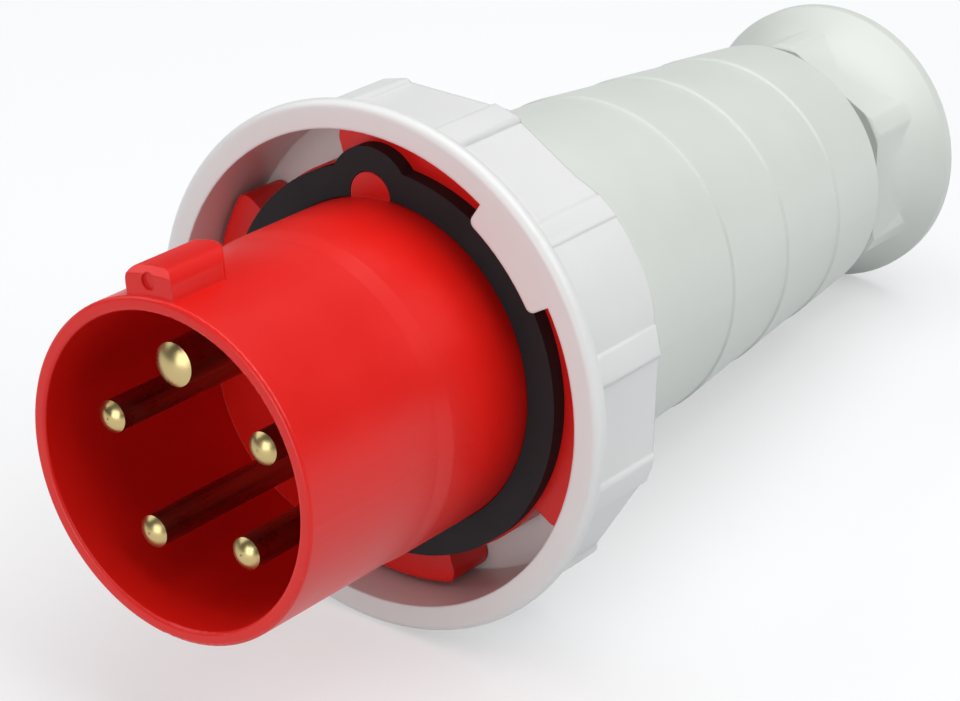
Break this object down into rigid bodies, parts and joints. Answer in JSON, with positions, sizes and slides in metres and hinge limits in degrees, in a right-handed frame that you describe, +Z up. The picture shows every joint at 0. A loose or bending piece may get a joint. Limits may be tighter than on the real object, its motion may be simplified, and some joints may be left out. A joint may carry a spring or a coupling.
{
  "type": "pin and sleeve plug",
  "caption": "In-line pin and sleeve cable plug: keyed red sleeve over brass pins, gasketed flange, turning locking ring, tapered grey handle and flared gland nut.",
  "frame": {"origin": "on the floor under the middle of the plug's box, as it lies on its locking ring and gland nut", "axes": "+Y runs from the sleeve's mouth to the gland nut, +Z is up, +X is to the right as seen from the mouth"},
  "size_m": [0.1021, 0.2234, 0.1015],
  "materials": {
    "red_plastic": "glossy moulded red",
    "brass": "turned, satin",
    "plated_steel": "zinc plated",
    "dark_plastic": "dark grey moulding",
    "black_rubber": "matt black",
    "white_plastic": "smooth off-white",
    "grey_plastic": "smooth light grey",
    "inner_plastic": "plain light grey"
  },
  "bodies": {
    "plug": {"plug_front": "red_plastic", "earth_pin": "brass", "neutral_pin": "brass", "line_pin_1": "brass", "line_pin_2": "brass", "line_pin_3": "brass", "line_terminal_screws": "plated_steel", "earth_terminal_screws": "plated_steel", "pin_retainer": "dark_plastic", "retainer_screw": "plated_steel", "face_gasket": "black_rubber", "rear_housing": "grey_plastic", "housing_seal": "black_rubber", "clamping_cage": "inner_plastic", "cable_seal": "black_rubber"},
    "ring": {"locking_ring": "white_plastic"},
    "washer": {"slip_washer": "inner_plastic"},
    "nut": {"gland_nut": "grey_plastic"}
  },
  "joints": [
    {"name": "ring_turn", "type": "hinge", "parent": "plug", "child": "ring", "pos_m": [0, -0.04232, 0.0495], "axis": [0, 0.9919, -0.1273], "range_deg": [-25, 25]},
    {"name": "gland_slide", "type": "slide", "parent": "plug", "child": "washer", "axis": [0, 0.9919, -0.1273], "range_m": [0, 0.00601]},
    {"name": "gland_turn", "type": "hinge", "parent": "washer", "child": "nut", "pos_m": [0, 0.09555, 0.03181], "axis": [0, 0.9919, -0.1273], "range_deg": [0, 720]}
  ],
  "couplings": [
    {"joint": "gland_slide", "follows": "gland_turn", "m_per_rad": 0.00047746}
  ]
}
